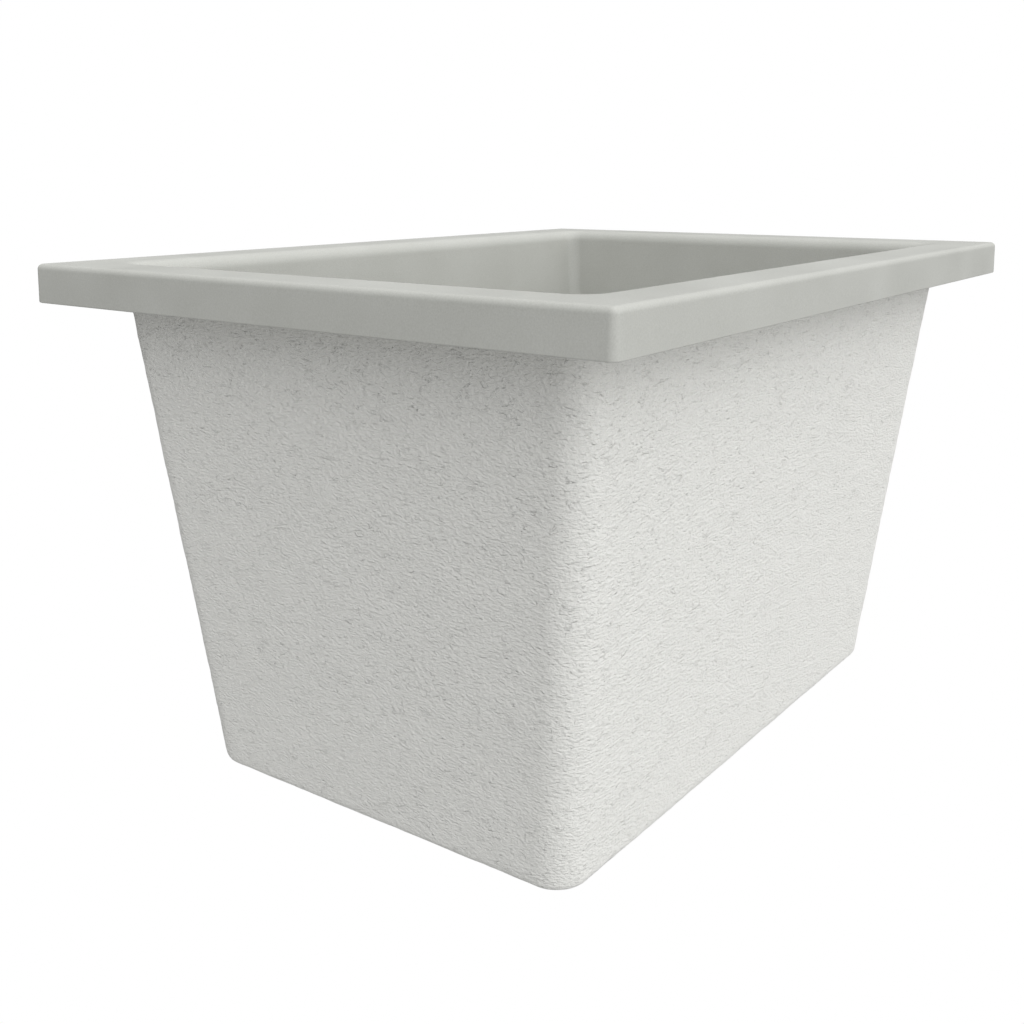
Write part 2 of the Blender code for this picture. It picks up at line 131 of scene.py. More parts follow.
@dataclass(frozen=True)
class Finish:
    """A finish: what the thing is made of and how its surface was made.

    Attributes:
        name: The material's name.
        colour: Its own colour, as sRGB hex.
        roughness: Roughness of the plain surface.
        metallic: 1 for a bare or plated metal.
    """

    name: str
    colour: str
    roughness: float
    metallic: float = 0.0

    def material(self) -> Material:
        """Make the material, or find it if it is made already.

        Returns:
            The material.
        """
        made = bpy.data.materials.get(self.name)
        if made is None:
            made = bpy.data.materials.new(self.name)
            made.use_nodes = True
            shader = made.node_tree.nodes["Principled BSDF"]
            shader.inputs["Base Color"].default_value = linear(self.colour)
            shader.inputs["Roughness"].default_value = self.roughness
            shader.inputs["Metallic"].default_value = self.metallic
            self.dress(made.node_tree, shader)
        return made

    def dress(self, tree: NodeTree, shader: Node) -> None:
        """Add the surface's own detail. The plain finish has none.

        Args:
            tree: The material's nodes.
            shader: The Principled node.
        """

    def place(self, tree: NodeTree, size_mm: tuple[float, float, float]) -> NodeSocket:
        """Coordinates in which one unit is the given size on the object.

        Args:
            tree: The material's nodes.
            size_mm: Size of one unit along X, Y and Z, in millimetres.

        Returns:
            The vector socket for a texture with a scale of 1.
        """
        where = add_node(tree, "ShaderNodeTexCoord")
        scale = tuple(1000 / size for size in size_mm)
        links = {"Vector": where.outputs["Object"]}
        return add_node(tree, "ShaderNodeMapping", {"Scale": scale}, links).outputs["Vector"]

    def grain(
        self, tree: NodeTree, size_mm: tuple[float, float, float], detail: float, warp: float = 0.0
    ) -> NodeSocket:
        """Noise of a real size.

        Args:
            tree: The material's nodes.
            size_mm: Size of its largest lumps along X, Y and Z, in millimetres.
            detail: How many finer octaves it has.
            warp: How much it is drawn out of shape.

        Returns:
            The noise, from 0 to 1.
        """
        values = {"Scale": 1.0, "Detail": detail, "Roughness": 0.55, "Distortion": warp}
        links = {"Vector": self.place(tree, size_mm)}
        return add_node(tree, "ShaderNodeTexNoise", values, links).outputs["Fac"]

    def spread(self, tree: NodeTree, source: NodeSocket, low: float, high: float) -> NodeSocket:
        """Map the middle of a noise's range onto low to high, and hold it there beyond."""
        values = {"From Min": NOISE_LOW, "From Max": NOISE_HIGH, "To Min": low, "To Max": high}
        return add_node(tree, "ShaderNodeMapRange", values, {"Value": source}).outputs["Result"]

    def blend(self, tree: NodeTree, first: NodeSocket, second: NodeSocket, share: float) -> NodeSocket:
        """Add two noises up.

        Args:
            tree: The material's nodes.
            first: One noise.
            second: The other.
            share: How much of the sum is the first, from 0 to 1.

        Returns:
            The sum, from 0 to 1.
        """
        rest = add_node(tree, "ShaderNodeMath", {1: 1 - share}, {0: second}, operation="MULTIPLY").outputs["Value"]
        links = {0: first, 2: rest}
        return add_node(tree, "ShaderNodeMath", {1: share}, links, operation="MULTIPLY_ADD").outputs["Value"]

    def tint(self, tree: NodeTree, shader: Node, source: NodeSocket, dark: str, light: str) -> None:
        """Let the colour follow a noise.

        Args:
            tree: The material's nodes.
            shader: The Principled node.
            source: The noise.
            dark: The colour where it is low, as sRGB hex.
            light: The colour where it is high.
        """
        amount = self.spread(tree, source, 0.0, 1.0)
        mix = add_node(tree, "ShaderNodeMix", links={"Factor": amount}, data_type="RGBA")
        mix.inputs["A"].default_value = linear(dark)
        mix.inputs["B"].default_value = linear(light)
        tree.links.new(mix.outputs["Result"], shader.inputs["Base Color"])

    def roughen(self, tree: NodeTree, shader: Node, source: NodeSocket, low: float, high: float) -> None:
        """Let the roughness follow a noise, from low to high."""
        tree.links.new(self.spread(tree, source, low, high), shader.inputs["Roughness"])

    def emboss(self, tree: NodeTree, shader: Node, layers: list[tuple[NodeSocket, float]]) -> None:
        """Stack bump layers on the shader.

        Args:
            tree: The material's nodes.
            shader: The Principled node.
            layers: Height from 0 to 1, and how many millimetres high 1 is.
        """
        normal = None
        for height, rise in layers:
            links = {"Height": height}
            if normal is not None:
                links["Normal"] = normal
            values = {"Strength": 1.0, "Distance": rise * MM}
            normal = add_node(tree, "ShaderNodeBump", values, links).outputs["Normal"]
        tree.links.new(normal, shader.inputs["Normal"])


@dataclass(frozen=True)
class MouldedGelcoat(Finish):
    """Pigmented polyester gelcoat, moulded against a satin tool: an even soft sheen with a trace of orange peel."""

    speck_mm: float = 0.9  # pigment specks are finer than this, and drawn as coarse as they need to show
    speck_rise_mm: float = 0.006
    speck_share: float = 0.65  # of the colour's unevenness; the clouds have the rest
    peel_mm: float = 4.0
    peel_rise_mm: float = 0.012
    cloud_mm: float = 60.0

    def dress(self, tree: NodeTree, shader: Node) -> None:
        """Specks and faint clouds in the colour, and orange peel in the surface.

        Args:
            tree: The material's nodes.
            shader: The Principled node.
        """
        speck = self.grain(tree, (self.speck_mm,) * 3, 2.0)
        cloud = self.grain(tree, (self.cloud_mm,) * 3, 2.0)
        self.tint(tree, shader, self.blend(tree, speck, cloud, self.speck_share), "B0B1AB", "BFC0BB")
        self.roughen(tree, shader, cloud, 0.40, 0.50)
        peel = self.grain(tree, (self.peel_mm,) * 3, 1.0)
        self.emboss(tree, shader, [(peel, self.peel_rise_mm), (speck, self.speck_rise_mm)])


@dataclass(frozen=True)
class SprayedLaminate(Finish):
    """Sprayed chopped-glass laminate sealed with a white flow coat: matt, chalky and rough to the hand."""

    wave_mm: tuple[float, float, float] = (3.2, 3.2, 1.6)  # the spray sags into short level ripples
    wave_rise_mm: float = 1.5
    wave_shade_share: float = 0.6  # of the painted shade in the hollows; the grit has the rest
    grit_mm: tuple[float, float, float] = (1.6, 1.6, 1.1)
    grit_rise_mm: float = 0.40
    crumb_mm: tuple[float, float, float] = (9.0, 9.0, 4.0)
    crumb_rise_mm: float = 0.42
    crumb_foot: float = 0.62  # where in the noise a crumb begins
    crumb_top: float = 0.69

    def dress(self, tree: NodeTree, shader: Node) -> None:
        """Ripples, grit and a few crumbs of resin, with painted shade: the colour is darker where the surface sinks.

        Args:
            tree: The material's nodes.
            shader: The Principled node.
        """
        wave = self.grain(tree, self.wave_mm, 2.0, 0.2)
        grit = self.grain(tree, self.grit_mm, 1.0, 0.3)
        values = {"From Min": self.crumb_foot, "From Max": self.crumb_top, "To Min": 0.0, "To Max": 1.0}
        links = {"Value": self.grain(tree, self.crumb_mm, 2.0, 1.2)}
        crumbs = add_node(tree, "ShaderNodeMapRange", values, links, interpolation_type="SMOOTHSTEP").outputs["Result"]
        # The colour follows the ripple and grit heights, so it is painted shade: darker in the hollows.
        self.tint(tree, shader, self.blend(tree, wave, grit, self.wave_shade_share), "E4E4E0", "EBEBE7")
        self.roughen(tree, shader, grit, 0.72, 0.88)
        shader.inputs["Specular IOR Level"].default_value = 0.3
        layers = [(wave, self.wave_rise_mm), (grit, self.grit_rise_mm), (crumbs, self.crumb_rise_mm)]
        self.emboss(tree, shader, layers)


@dataclass(frozen=True)
class TurnedSteel(Finish):
    """Spun and buffed 304 stainless steel: fine rings round the axis that draw the reflections out."""

    ring_mm: float = 0.35  # buffing lines are finer, and drawn as coarse as they need to show

    def dress(self, tree: NodeTree, shader: Node) -> None:
        """Rings that follow the distance from the axis and the height.

        Args:
            tree: The material's nodes.
            shader: The Principled node.
        """
        where = add_node(tree, "ShaderNodeTexCoord").outputs["Object"]
        parts = add_node(tree, "ShaderNodeSeparateXYZ", links={"Vector": where})
        flat = add_node(tree, "ShaderNodeCombineXYZ", links={"X": parts.outputs["X"], "Y": parts.outputs["Y"]})
        links = {0: flat.outputs["Vector"]}
        radius = add_node(tree, "ShaderNodeVectorMath", links=links, operation="LENGTH").outputs["Value"]
        along = add_node(tree, "ShaderNodeMath", links={0: radius, 1: parts.outputs["Z"]}, operation="SUBTRACT")
        values = {"Scale": 1 / (self.ring_mm * MM), "Detail": 2.0, "Roughness": 0.6}
        links = {"W": along.outputs["Value"]}
        rings = add_node(tree, "ShaderNodeTexNoise", values, links, noise_dimensions="1D").outputs["Fac"]
        smear = self.grain(tree, (9.0, 9.0, 9.0), 3.0, 0.5)
        self.roughen(tree, shader, smear, self.roughness - 0.05, self.roughness + 0.10)
        self.tint(tree, shader, rings, "B9BABB", "D2D3D3")
        self.emboss(tree, shader, [(rings, 0.006)])


@dataclass(frozen=True)
class Plated(Finish):
    """Polished chrome plate: mirror-like, with a faint haze of wiping marks."""

    def dress(self, tree: NodeTree, shader: Node) -> None:
        """Haze in the roughness and a very faint unevenness.

        Args:
            tree: The material's nodes.
            shader: The Principled node.
        """
        haze = self.grain(tree, (14.0, 14.0, 14.0), 4.0, 0.8)
        self.roughen(tree, shader, haze, 0.05, 0.16)
        self.tint(tree, shader, haze, "D3D6D9", "E0E2E4")
        self.emboss(tree, shader, [(self.grain(tree, (6.0, 6.0, 6.0), 1.0), 0.004)])


@dataclass(frozen=True)
class Cast(Finish):
    """Bare die-cast zinc: dull grey, softly mottled, with a fine skin from the die."""

    def dress(self, tree: NodeTree, shader: Node) -> None:
        """Flow mottle in colour and roughness, and a fine cast grain.

        Args:
            tree: The material's nodes.
            shader: The Principled node.
        """
        mottle = self.grain(tree, (7.0, 7.0, 7.0), 4.0, 1.0)
        skin = self.grain(tree, (0.8, 0.8, 0.8), 2.0)
        self.tint(tree, shader, mottle, "8E9194", "ABADAF")
        self.roughen(tree, shader, mottle, 0.42, 0.60)
        self.emboss(tree, shader, [(skin, 0.03)])


@dataclass(frozen=True)
class Machined(Finish):
    """Machined brass: warm and bright, with the tool's fine lines."""

    def dress(self, tree: NodeTree, shader: Node) -> None:
        """Tool lines stacked along the axis, and a little tarnish.

        Args:
            tree: The material's nodes.
            shader: The Principled node.
        """
        lines = self.grain(tree, (8.0, 8.0, 0.3), 2.0)
        tarnish = self.grain(tree, (4.0, 4.0, 4.0), 3.0)
        self.tint(tree, shader, tarnish, "A8884A", "CDB070")
        self.roughen(tree, shader, tarnish, 0.25, 0.42)
        self.emboss(tree, shader, [(lines, 0.01)])


@dataclass(frozen=True)
class Soft(Finish):
    """A moulded or pressed soft material, such as rubber, card or nylon: matt, with a grain of its own.

    Attributes:
        dark: The darker end of its colour, as sRGB hex.
        grain_mm: Size of the grain.
        rise_mm: How high the grain stands.
    """

    dark: str = "000000"
    grain_mm: float = 1.0
    rise_mm: float = 0.03

    def dress(self, tree: NodeTree, shader: Node) -> None:
        """Grain in colour, roughness and height, and a bloom in broad patches.

        Args:
            tree: The material's nodes.
            shader: The Principled node.
        """
        bloom = self.grain(tree, (12.0, 12.0, 12.0), 3.0, 0.5)
        fine = self.grain(tree, (self.grain_mm,) * 3, 3.0)
        self.tint(tree, shader, bloom, self.dark, self.colour)
        self.roughen(tree, shader, fine, self.roughness - 0.08, self.roughness + 0.08)
        self.emboss(tree, shader, [(fine, self.rise_mm)])


SKIN = MouldedGelcoat("satin_grey_gelcoat", "BCBDB6", 0.45)
BACKING = SprayedLaminate("sprayed_white_laminate", "E3E3DE", 0.8)
STEEL = TurnedSteel("spun_stainless_steel", "C8C9C9", 0.24, 1.0)
CHROME = Plated("polished_chrome_plate", "DADCDE", 0.08, 1.0)
ZINC = Cast("die_cast_zinc", "9DA0A2", 0.5, 1.0)
BRASS = Machined("machined_brass", "C0A262", 0.3, 1.0)
# EPDM rubber off the mould: near black with a grey bloom
RUBBER = Soft("moulded_epdm_rubber", "2C2C2B", 0.62, dark="1E1E1E", grain_mm=0.9, rise_mm=0.02)
# Pressed fibre card: warm brown, fibrous and quite matt
CARD = Soft("pressed_fibre_card", "8B7355", 0.85, dark="75603F", grain_mm=0.7, rise_mm=0.05)
# Injection-moulded natural nylon: milky and a little waxy
NYLON = Soft("moulded_natural_nylon", "E6E2D4", 0.42, dark="DAD5C4", grain_mm=1.6, rise_mm=0.012)


# ---------------------------------------------------------------------------------------------------------------
# Mesh work
# ---------------------------------------------------------------------------------------------------------------


def levels(node: str) -> tuple[float, float]:
    """The heights of a CAD node's underside and top."""
    low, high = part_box(node)
    return low.z, high.z


def strip_faces(rows: int, count: int, wrap: bool) -> np.ndarray:
    """Quads between rows of points, each row closed on itself.

    Args:
        rows: How many rows there are.
        count: How many points a row has.
        wrap: Whether the last row joins the first.

    Returns:
        The quads, as rows of four point numbers.
    """
    first = np.arange(rows if wrap else rows - 1)[:, None]
    column = np.arange(count)[None, :]
    near, far = first * count, ((first + 1) % rows) * count
    beside = (column + 1) % count
    return np.stack([near + column, near + beside, far + beside, far + column], axis=-1).reshape(-1, 4)


def rounded(outline: Outline, radius: float, steps: int = 3) -> Outline:
    """Round every corner of a closed outline, as far as its edges allow. Corners on the axis stay as they are.

    Args:
        outline: Its corners, as distance from the axis and height.
        radius: The radius of each corner.
        steps: Facets in each.

    Returns:
        The rounded outline.
    """
    made: Outline = []
    count = len(outline)
    for i, here in enumerate(outline):
        if here[0] == 0.0:
            made.append(here)
            continue
        before, after = Vector(outline[i - 1]), Vector(outline[(i + 1) % count])
        corner = Vector(here)
        back, on = before - corner, after - corner
        turn = back.angle(on)
        if turn > FLAT:
            made.append(here)
            continue
        reach = min(radius / math.tan(turn / 2), 0.45 * back.length, 0.45 * on.length)
        start, end = corner + back.normalized() * reach, corner + on.normalized() * reach
        for step in range(steps + 1):
            share = step / steps
            bent = start.lerp(corner, share).lerp(corner.lerp(end, share), share)
            made.append((bent.x, bent.y))
    return made


def turned_points(outline: Outline, facets: int) -> np.ndarray:
    """Spin a closed outline round the Z axis.

    Args:
        outline: Its corners, as distance from the axis and height.
        facets: How many times it is drawn in one turn.

    Returns:
        The points, one row for each facet.
    """
    turns = np.arange(facets) * 2 * math.pi / facets
    shape = np.array(outline)
    radius = shape[None, :, 0]
    around = turns[:, None]
    height = np.broadcast_to(shape[None, :, 1], (facets, len(outline)))
    return np.stack([radius * np.cos(around), radius * np.sin(around), height], axis=-1)


def outward(points: np.ndarray, faces: np.ndarray) -> np.ndarray:
    """Turn faces to the outside of the closed body that they make.

    Args:
        points: The body's points, one row each.
        faces: Its quads, as rows of four point numbers.

    Returns:
        The quads, all facing out.
    """
    a, b, c, d = (points[faces[:, k]] for k in range(4))
    volume = np.einsum("ij,ij->i", a, np.cross(b, c)).sum() + np.einsum("ij,ij->i", a, np.cross(c, d)).sum()
    return faces if volume > 0 else faces[:, ::-1]


@dataclass(frozen=True)
class Part:
    """Where a piece belongs: its name, the CAD node that it replaces, its finish, its slot (not used) and its body."""

    name: str
    stands_for: str
    finish: Finish
    slot: Slot
    body: Body = Body.TUB

    def make(self, points: np.ndarray, faces: np.ndarray) -> Object:
        """Make a smooth-shaded piece and tie it to the frame.

        Args:
            points: Its points, one row each. Those that coincide are welded.
            faces: Its quads, as rows of four point numbers.

        Returns:
            The new object.
        """
        mesh = bpy.data.meshes.new(self.name)
        mesh.from_pydata(points.tolist(), [], faces.tolist())
        welded = bmesh.new()
        welded.from_mesh(mesh)
        bmesh.ops.remove_doubles(welded, verts=welded.verts, dist=WELD)
        welded.to_mesh(mesh)
        welded.free()
        mesh.materials.append(self.finish.material())
        mesh.shade_smooth()
        mesh.set_sharp_from_angle(angle=SHARP)
        piece = bpy.data.objects.new(self.name, mesh)
        bpy.context.scene.collection.objects.link(piece)
        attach(piece, self.body.value)
        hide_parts(self.stands_for)
        return piece

    def loft(self, points: np.ndarray) -> Object:
        """Make a ring-shaped piece from rows of points, the last row joined to the first, facing out."""
        flat = points.reshape(-1, 3)
        return self.make(flat, outward(flat, strip_faces(*points.shape[:2], True)))

    def spin(self, outline: Outline, edge: float, facets: int = 96) -> Object:
        """Make a turned piece from a closed outline, with its edges rounded."""
        return self.loft(turned_points(rounded(outline, edge), facets))

    def ring(self, inner: float, outer: float, edge: float, facets: int = 96) -> Object:
        """Make a flat ring between the heights that the frame has it at."""
        low, high = levels(self.stands_for)
        return self.spin([(inner, low), (outer, low), (outer, high), (inner, high)], edge, facets)


# ---------------------------------------------------------------------------------------------------------------
# The tub
# ---------------------------------------------------------------------------------------------------------------


@dataclass(frozen=True)
class Mesh2D:
    """How finely a rounded rectangle is drawn: points along each straight side and round each corner."""

    along_x: int
    along_y: int
    corner: int

    def loop(self, half_x: float, half_y: float, radius: float) -> np.ndarray:
        """Points round a rectangle with round corners.

        Args:
            half_x: Half its length.
            half_y: Half its width.
            radius: Its corner radius.

        Returns:
            The points, one row each, from the middle of the +X side towards +Y.
        """
        straight_x, straight_y = half_x - radius, half_y - radius
        quarter = np.arange(self.corner) * (math.pi / 2) / self.corner
        rows: list[np.ndarray] = []
        for turn, run, side in ((0, straight_y, self.along_y), (1, straight_x, self.along_x)) * 2:
            quarters = len(rows) // 2
            angle = quarters * math.pi / 2
            out, beside = (half_x, straight_y) if turn == 0 else (half_y, straight_x)
            steps = np.linspace(-run, run, side, endpoint=False)
            edge = np.stack([np.full(side, out), steps], axis=1)
            arc = np.stack([out - radius + radius * np.cos(quarter), beside + radius * np.sin(quarter)], axis=1)
            spin = np.array([[math.cos(angle), math.sin(angle)], [-math.sin(angle), math.cos(angle)]])
            rows += [edge @ spin, arc @ spin]
        return np.concatenate(rows)


@dataclass
class TubForm:
    """The tub's sections, as on the CAD model: everything is measured in from the skirt's bottom edge.

    Attributes:
        skirt_flare: How far the skirt leans out from top to bottom.
        inset_top: How far the tub's outer wall stands in at the seat plane.
        inset_bottom: The same at its underside.
        corner_top: The tub's outer corner radius at the seat plane.
        corner_bottom: The same at its underside.
        backing: Thickness of the sprayed backing on the tub.
        skin: Thickness of the moulded skin.
        gap: Space between skin and backing.
        floor_fillet: Radius between wall and floor, inside.
        floor_fall: How far the floor falls to the waste.
        drain_radius: Radius of the waste hole.
        recess_radius: Radius of the sunk seat round it.
        recess_depth: Depth of that seat.
        rim_corner: The rim's corner radius.
        under_fillet: Radius between wall and rim, outside.
        smallest_corner: The tightest corner that a wall is given.
    """

    skirt_flare: float = 1.1 * MM
    inset_top: float = 37.8 * MM
    inset_bottom: float = 67.1 * MM
    corner_top: float = 20.3 * MM
    corner_bottom: float = 23.6 * MM
    backing: float = 4.8 * MM
    skin: float = 4.5 * MM
    gap: float = 0.3 * MM
    floor_fillet: float = 12 * MM
    floor_fall: float = 6 * MM
    drain_radius: float = 45 * MM
    recess_radius: float = 59.5 * MM
    recess_depth: float = 3.6 * MM
    rim_corner: float = 4.5 * MM
    under_fillet: float = 4 * MM
    smallest_corner: float = 4 * MM

    def __post_init__(self) -> None:
        """Read the overall sizes from the frame."""
        low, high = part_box("basin_liner")
        self.half_x, self.half_y, self.top = high.x, high.y, high.z
        self.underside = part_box("backing_layer")[0].z
        self.seat_floor = self.underside + self.backing + self.gap + self.skin
        self.lean = 0.8 * self.skirt_flare  # the skirt leans a little less inside than outside

    def section(self, grid: Mesh2D, inset: float, radius: float, z: float) -> np.ndarray:
        """A level section that stands in by the given inset."""
        flat = grid.loop(self.half_x - inset, self.half_y - inset, radius)
        return np.column_stack([flat, np.full(len(flat), z)])

    def inset(self, z: float) -> float:
        """How far in the tub's outer wall stands at a height."""
        return self.inset_top + (self.inset_bottom - self.inset_top) * z / self.underside

    def corner(self, z: float) -> float:
        """The tub's outer corner radius at a height."""
        return self.corner_top + (self.corner_bottom - self.corner_top) * z / self.underside

    def wall(self, grid: Mesh2D, depth: float, z: float, more: float = 0.0) -> np.ndarray:
        """A section of the tub wall, a depth in from its outer face."""
        radius = max(self.corner(z) - depth - more, self.smallest_corner)
        return self.section(grid, self.inset(z) + depth + more, radius, z)

    def walls(self, grid: Mesh2D, depth: float, high: float, low: float, rows: int) -> list[np.ndarray]:
        """Even rows down the wall, without its two ends."""
        return [self.wall(grid, depth, z) for z in np.linspace(high, low, rows + 2)[1:-1]]

    def floor_turn(self, grid: Mesh2D, depth: float, fillet: float, low: float, steps: int) -> list[np.ndarray]:
        """Rows round the corner from wall to floor.

        Args:
            grid: How finely it is drawn.
            depth: How far in from the outer face of the wall it lies.
            fillet: Its radius.
            low: The height that it ends at.
            steps: Facets in it.

        Returns:
            The rows, from the wall down.
        """
        made = []
        for step in range(steps + 1):
            turn = math.radians(90 * step / steps)
            z = low + fillet * (1 - math.sin(turn))
            made.append(self.wall(grid, depth, z, fillet * (1 - math.cos(turn))))
        return made

    def disc(self, edge: np.ndarray, radius: float, z: float) -> np.ndarray:
        """A circle whose points lie in line with the points of a floor section."""
        reach = np.hypot(edge[:, 0], edge[:, 1])
        return np.column_stack([edge[:, 0] * radius / reach, edge[:, 1] * radius / reach, np.full(len(edge), z)])

    def between(self, first: np.ndarray, last: np.ndarray, rows: int) -> list[np.ndarray]:
        """Even rows between two sections, without the two."""
        return [first + (last - first) * k / (rows + 1) for k in range(1, rows + 1)]

    def underlay(self, grid: Mesh2D, layer: float, depth: float, steps: int) -> list[np.ndarray]:
        """Rows of a hidden face: up inside the skirt, under the rim, down the wall and over the floor.

        Args:
            grid: How finely it is drawn.
            layer: How far below the skin's own face it lies on rim and floor.
            depth: How far in from the tub's outer face it lies on the wall.
            steps: Rows round the turn from wall to floor.

        Returns:
            The rows, from the skirt's bottom edge to the waste hole.
        """
        top, low, fillet, corner = self.top - layer, self.seat_floor - layer, self.under_fillet, self.rim_corner
        turn = self.floor_turn(
            grid, depth, self.floor_fillet + layer, low + self.recess_depth + self.floor_fall, steps
        )
        return [
            self.section(grid, layer, corner, 0.0),
            self.section(grid, layer + self.lean, corner, top - 2 * MM),
            self.section(grid, layer + self.lean + 2 * MM, corner, top),
            self.section(grid, self.inset(top) + depth - fillet, self.corner(top) - depth + fillet, top),
            self.wall(grid, depth, top - fillet),
            *turn,
            self.disc(turn[-1], self.recess_radius + self.skin, low + self.recess_depth),
            self.disc(turn[-1], self.recess_radius + 2 * MM, low),
            self.disc(turn[-1], self.drain_radius, low),
        ]


@dataclass
class MouldedSkin:
    """The smooth grey moulding: bowl, floor with its fall, rolled lip, flat rim and skirt.

    Attributes:
        form: The tub's sections.
        grid: How finely it is drawn.
        lip_radius: Radius of the lip between wall and rim.
        edge_radius: Radius of the rim's top edge.
        foot: Size of the trimmed edge at the skirt's foot.
        seat_foot: Radius between the sunk seat's floor and its side.
        seat_brow: Radius between that side and the tub's floor.
        ease: How far the point between the ends of those two stands from their corner.
    """

    form: TubForm
    grid: Mesh2D = Mesh2D(24, 18, 12)
    lip_radius: float = 10 * MM
    edge_radius: float = 4 * MM
    foot: float = 0.9 * MM
    seat_foot: float = 1.5 * MM
    seat_brow: float = 1.2 * MM
    ease: float = 0.4 * MM
    turn_steps: int = 8
    floor_rows: int = 14
    wall_rows: int = 18
    lip_steps: int = 10
    edge_steps: int = 7
    hidden_steps: int = 6

    def upper(self) -> list[np.ndarray]:
        """Rows of the face that shows: from the waste hole over the floor, up the wall and out to the skirt.

        Returns:
            The rows, from the waste hole to the skirt's bottom edge.
        """
        form, grid = self.form, self.grid
        depth = form.backing + form.gap + form.skin
        floor_low = form.seat_floor + form.recess_depth
        turn = form.floor_turn(grid, depth, form.floor_fillet, floor_low + form.floor_fall, self.turn_steps)
        edge = turn[-1]
        rows = [
            form.disc(edge, form.drain_radius, form.seat_floor),
            form.disc(edge, form.recess_radius - self.seat_foot, form.seat_floor),
            form.disc(edge, form.recess_radius - self.ease, form.seat_floor + self.ease),
            form.disc(edge, form.recess_radius, form.seat_floor + self.seat_foot),
            form.disc(edge, form.recess_radius, floor_low - self.seat_brow),
            form.disc(edge, form.recess_radius + self.ease, floor_low - self.ease),
            form.disc(edge, form.recess_radius + self.seat_brow, floor_low),
        ]
        rows += form.between(rows[-1], edge, self.floor_rows)
        rows += reversed(turn)
        lip_low = form.top - self.lip_radius
        wall_low = floor_low + form.floor_fall + form.floor_fillet
        rows += reversed(form.walls(grid, depth, lip_low, wall_low, self.wall_rows))
        wall_inset = form.inset(lip_low) + depth
        wall_corner = form.corner(lip_low) - depth
        for step in range(self.lip_steps + 1):
            turned = math.radians(90 * step / self.lip_steps)
            out = self.lip_radius * (1 - math.cos(turned))
            z = lip_low + self.lip_radius * math.sin(turned)
            rows.append(form.section(grid, wall_inset - out, wall_corner + out, z))
        for step in range(self.edge_steps + 1):
            turned = math.radians(90 * step / self.edge_steps)
            out = self.edge_radius * math.sin(turned)
            z = form.top - self.edge_radius * (1 - math.cos(turned))
            inset = form.skirt_flare + self.edge_radius - out
            rows.append(form.section(grid, inset, form.rim_corner - self.edge_radius + out, z))
        corner = form.rim_corner + form.skirt_flare
        rows.append(form.section(grid, form.skirt_flare * 0.02, corner, self.foot))
        rows.append(form.section(grid, self.foot * 0.3, corner, self.foot * 0.3))
        rows.append(form.section(grid, self.foot, corner, 0.0))
        return rows

    def build(self) -> list[Object]:
        """Make the skin.

        Returns:
            The pieces.
        """
        part = Part("moulded_skin", "basin_liner", SKIN, Slot.SKIN)
        form = self.form
        lower = form.underlay(self.grid, form.skin, form.backing + form.gap, self.hidden_steps)
        skin = part.loft(np.stack(self.upper() + lower))
        even = skin.modifiers.new("even_shading", "WEIGHTED_NORMAL")
        even.keep_sharp = True
        return [skin]


